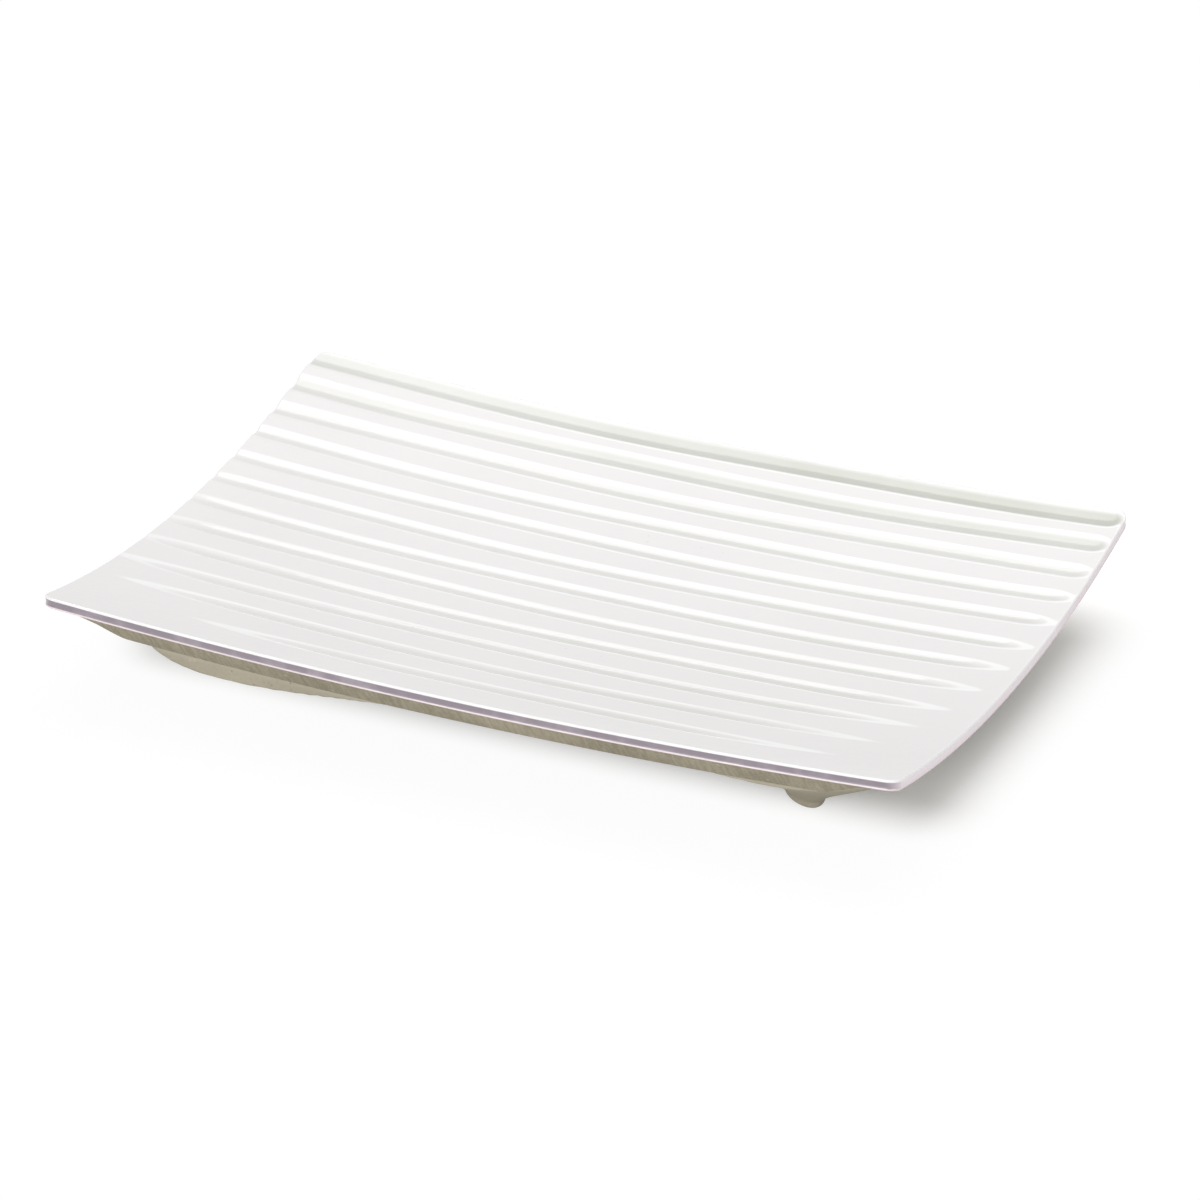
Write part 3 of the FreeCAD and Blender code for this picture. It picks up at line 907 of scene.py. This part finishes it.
class SOAPDISH_OT_pads(bpy.types.Operator):
    """Make the four soft pads in the soles"""

    bl_idname = "soapdish.pads"
    bl_label = "Make pads"

    def execute(self, context):
        scene = context.scene
        finish = pad_material(scene.dish_colours)
        for corner in CORNERS:
            points, faces = pad_surface(scene.dish_foot, corner)
            name = f"sole_pad_{corner}"
            add_piece(name, points, faces, [finish], f"foot_pad_{corner}")
        return {"FINISHED"}


# Where the camera stands: angles in degrees, the rest in metres from the middle of the tray.
CAMERA_AZIMUTH = 24.443
CAMERA_ELEVATION = 27.72
CAMERA_DISTANCE = 1.161742
CAMERA_ASIDE = 1.398 * MM
CAMERA_UP = 0.2585 * MM
CAMERA_LENS = 219.36

# The floor: half its width, how far it lies below the dish, its grey as a source of light and as it is
# seen, and the light that is added where it is seen.
FLOOR_HALF = 6.0
FLOOR_DROP = 0.1 * MM
FLOOR_GREY = 0.8
FLOOR_SEEN_GREY = 1.1
FLOOR_LIFT = 0.06

# The box under the dish, by its middle and half its size, that keeps the whole shadow, and the run
# round it over which the floor that is seen fades to white, by a share.
FADE_CENTRE = (1.5 * MM, 24 * MM, 0.0)
FADE_HALF = (62.5 * MM, 42 * MM, 1.0)
FADE_RUN = 16 * MM
FADE_SHARE = 0.95

# The even light from all round.
FILL_LEVEL = 0.57

# Lamps: name, place, width and depth in metres, and the light that leaves each as a level.
LAMPS = (
    ("overhead_softbox", (-0.03, 0.15, 0.68), (0.75, 0.5), 2.3),
    ("front_softbox", (-0.06, -0.9, 0.17), (0.6, 0.3), 6.7),
    ("right_softbox", (0.8, -0.4, 0.3), (0.4, 0.4), 2.3),
)


def seen_directly(wire):
    """One for light that the camera sees straight, mirrored or through glass, else nothing."""
    names = ("Is Camera Ray", "Is Glossy Ray", "Is Transmission Ray")
    straight, mirrored, through = [wire.node("ShaderNodeLightPath", output=n) for n in names]
    return straight + mirrored + through


def make_floor():
    """A plain white floor that keeps the shadow near the dish and is seen as plain white further out."""
    mesh = bpy.data.meshes.new("floor")
    signs = np.array(((-1, -1), (1, -1), (1, 1), (-1, 1)))
    corners = np.column_stack((signs * FLOOR_HALF, np.full(4, -FLOOR_DROP)))
    mesh.from_pydata(corners.tolist(), [], [(0, 1, 2, 3)])
    floor = bpy.data.objects.new("floor", mesh)
    bpy.context.scene.collection.objects.link(floor)
    material, wire = new_shader("white_floor")
    seen = seen_directly(wire)
    off = wire.place().vector("SUBTRACT", FADE_CENTRE).vector("ABSOLUTE")
    beyond = off.vector("SUBTRACT", FADE_HALF).vector("MAXIMUM")
    far = beyond.vector("LENGTH", output="Value")
    grey = FLOOR_GREY + (FLOOR_SEEN_GREY - FLOOR_GREY) * seen
    paper = wire.node("ShaderNodeBsdfDiffuse", None, {"Color": grey})
    lift = wire.node("ShaderNodeEmission", None, {"Strength": seen * FLOOR_LIFT})
    near = wire.node("ShaderNodeAddShader", None, {0: paper, 1: lift})
    white = wire.node("ShaderNodeEmission", None, {"Strength": 1.0})
    fade = far.ramp(0.0, FADE_RUN, 0.0, FADE_SHARE) * seen
    finish_shader(wire, wire.node("ShaderNodeMixShader", None, {0: fade, 1: near, 2: white}))
    mesh.materials.append(material)


def make_world():
    """An even grey light from all round, behind which the background looks white."""
    world = bpy.data.worlds.new("studio")
    bpy.context.scene.world = world
    world.use_nodes = True
    world.node_tree.nodes.clear()
    wire = Wire(world.node_tree)
    fill = wire.node("ShaderNodeBackground", None, {"Strength": FILL_LEVEL})
    white = wire.node("ShaderNodeBackground", None, {"Strength": 1.0})
    sockets = {0: seen_directly(wire), 1: fill, 2: white}
    mixed = wire.node("ShaderNodeMixShader", None, sockets)
    wire.node("ShaderNodeOutputWorld", None, {"Surface": mixed})


def add_lamp(name, place, size, level):
    """A soft panel lamp that faces the dish. Its power is its level times pi times its area."""
    data = bpy.data.lights.new(name, "AREA")
    data.shape = "RECTANGLE"
    data.size, data.size_y = size
    data.energy = level * math.pi * size[0] * size[1]
    lamp = bpy.data.objects.new(name, data)
    bpy.context.scene.collection.objects.link(lamp)
    lamp.location = place
    lamp.rotation_euler = (-Vector(place)).to_track_quat("-Z", "Y").to_euler()


def add_camera(centre_height):
    """A long lens that looks down on the dish from the front right."""
    azimuth, elevation = math.radians(CAMERA_AZIMUTH), math.radians(CAMERA_ELEVATION)
    back = Vector((
        math.sin(azimuth) * math.cos(elevation),
        -math.cos(azimuth) * math.cos(elevation),
        math.sin(elevation),
    ))
    right = Vector((math.cos(azimuth), math.sin(azimuth), 0))
    up = back.cross(right)
    data = bpy.data.cameras.new("camera")
    data.lens = CAMERA_LENS
    camera = bpy.data.objects.new("camera", data)
    bpy.context.scene.collection.objects.link(camera)
    aim = Vector((0, 0, centre_height))
    place = aim + back * CAMERA_DISTANCE + right * CAMERA_ASIDE + up * CAMERA_UP
    camera.matrix_world = Matrix.Translation(place) @ Matrix((right, up, back)).transposed().to_4x4()
    bpy.context.scene.camera = camera


class SOAPDISH_OT_stage(bpy.types.Operator):
    """Make the floor, the studio light and the camera"""

    bl_idname = "soapdish.stage"
    bl_label = "Make stage"

    def execute(self, context):
        scene = context.scene
        make_floor()
        make_world()
        for lamp in LAMPS:
            add_lamp(*lamp)
        add_camera(scene.dish_tray.centre_height)
        scene.view_settings.view_transform = "Standard"
        return {"FINISHED"}


OPERATORS = (SOAPDISH_OT_tray, SOAPDISH_OT_feet, SOAPDISH_OT_pads, SOAPDISH_OT_stage)


class SOAPDISH_PT_panel(bpy.types.Panel):
    """Lists the dish's sizes, colours and makers"""

    bl_idname = "SOAPDISH_PT_panel"
    bl_label = "Soap dish"
    bl_space_type = "VIEW_3D"
    bl_region_type = "UI"
    bl_category = "Soap dish"

    def draw(self, context):
        scene = context.scene
        for group in (scene.dish_tray, scene.dish_foot, scene.dish_colours):
            box = self.layout.box()
            for name in group.__annotations__:
                box.prop(group, name)
        for operator in OPERATORS:
            self.layout.operator(operator.bl_idname)


GROUPS = {"dish_tray": DishTraySizes, "dish_foot": DishFootSizes, "dish_colours": DishColours}
CLASSES = (*GROUPS.values(), *OPERATORS, SOAPDISH_PT_panel)


def register():
    for item in CLASSES:
        bpy.utils.register_class(item)
    for name, group in GROUPS.items():
        setattr(bpy.types.Scene, name, bpy.props.PointerProperty(type=group))


def unregister():
    for name in GROUPS:
        delattr(bpy.types.Scene, name)
    for item in reversed(CLASSES):
        bpy.utils.unregister_class(item)


def main():
    """Make the pieces and the stage."""
    register()
    bpy.ops.soapdish.tray()
    bpy.ops.soapdish.feet()
    bpy.ops.soapdish.pads()
    bpy.ops.soapdish.stage()


if __name__ == "__main__":
    main()
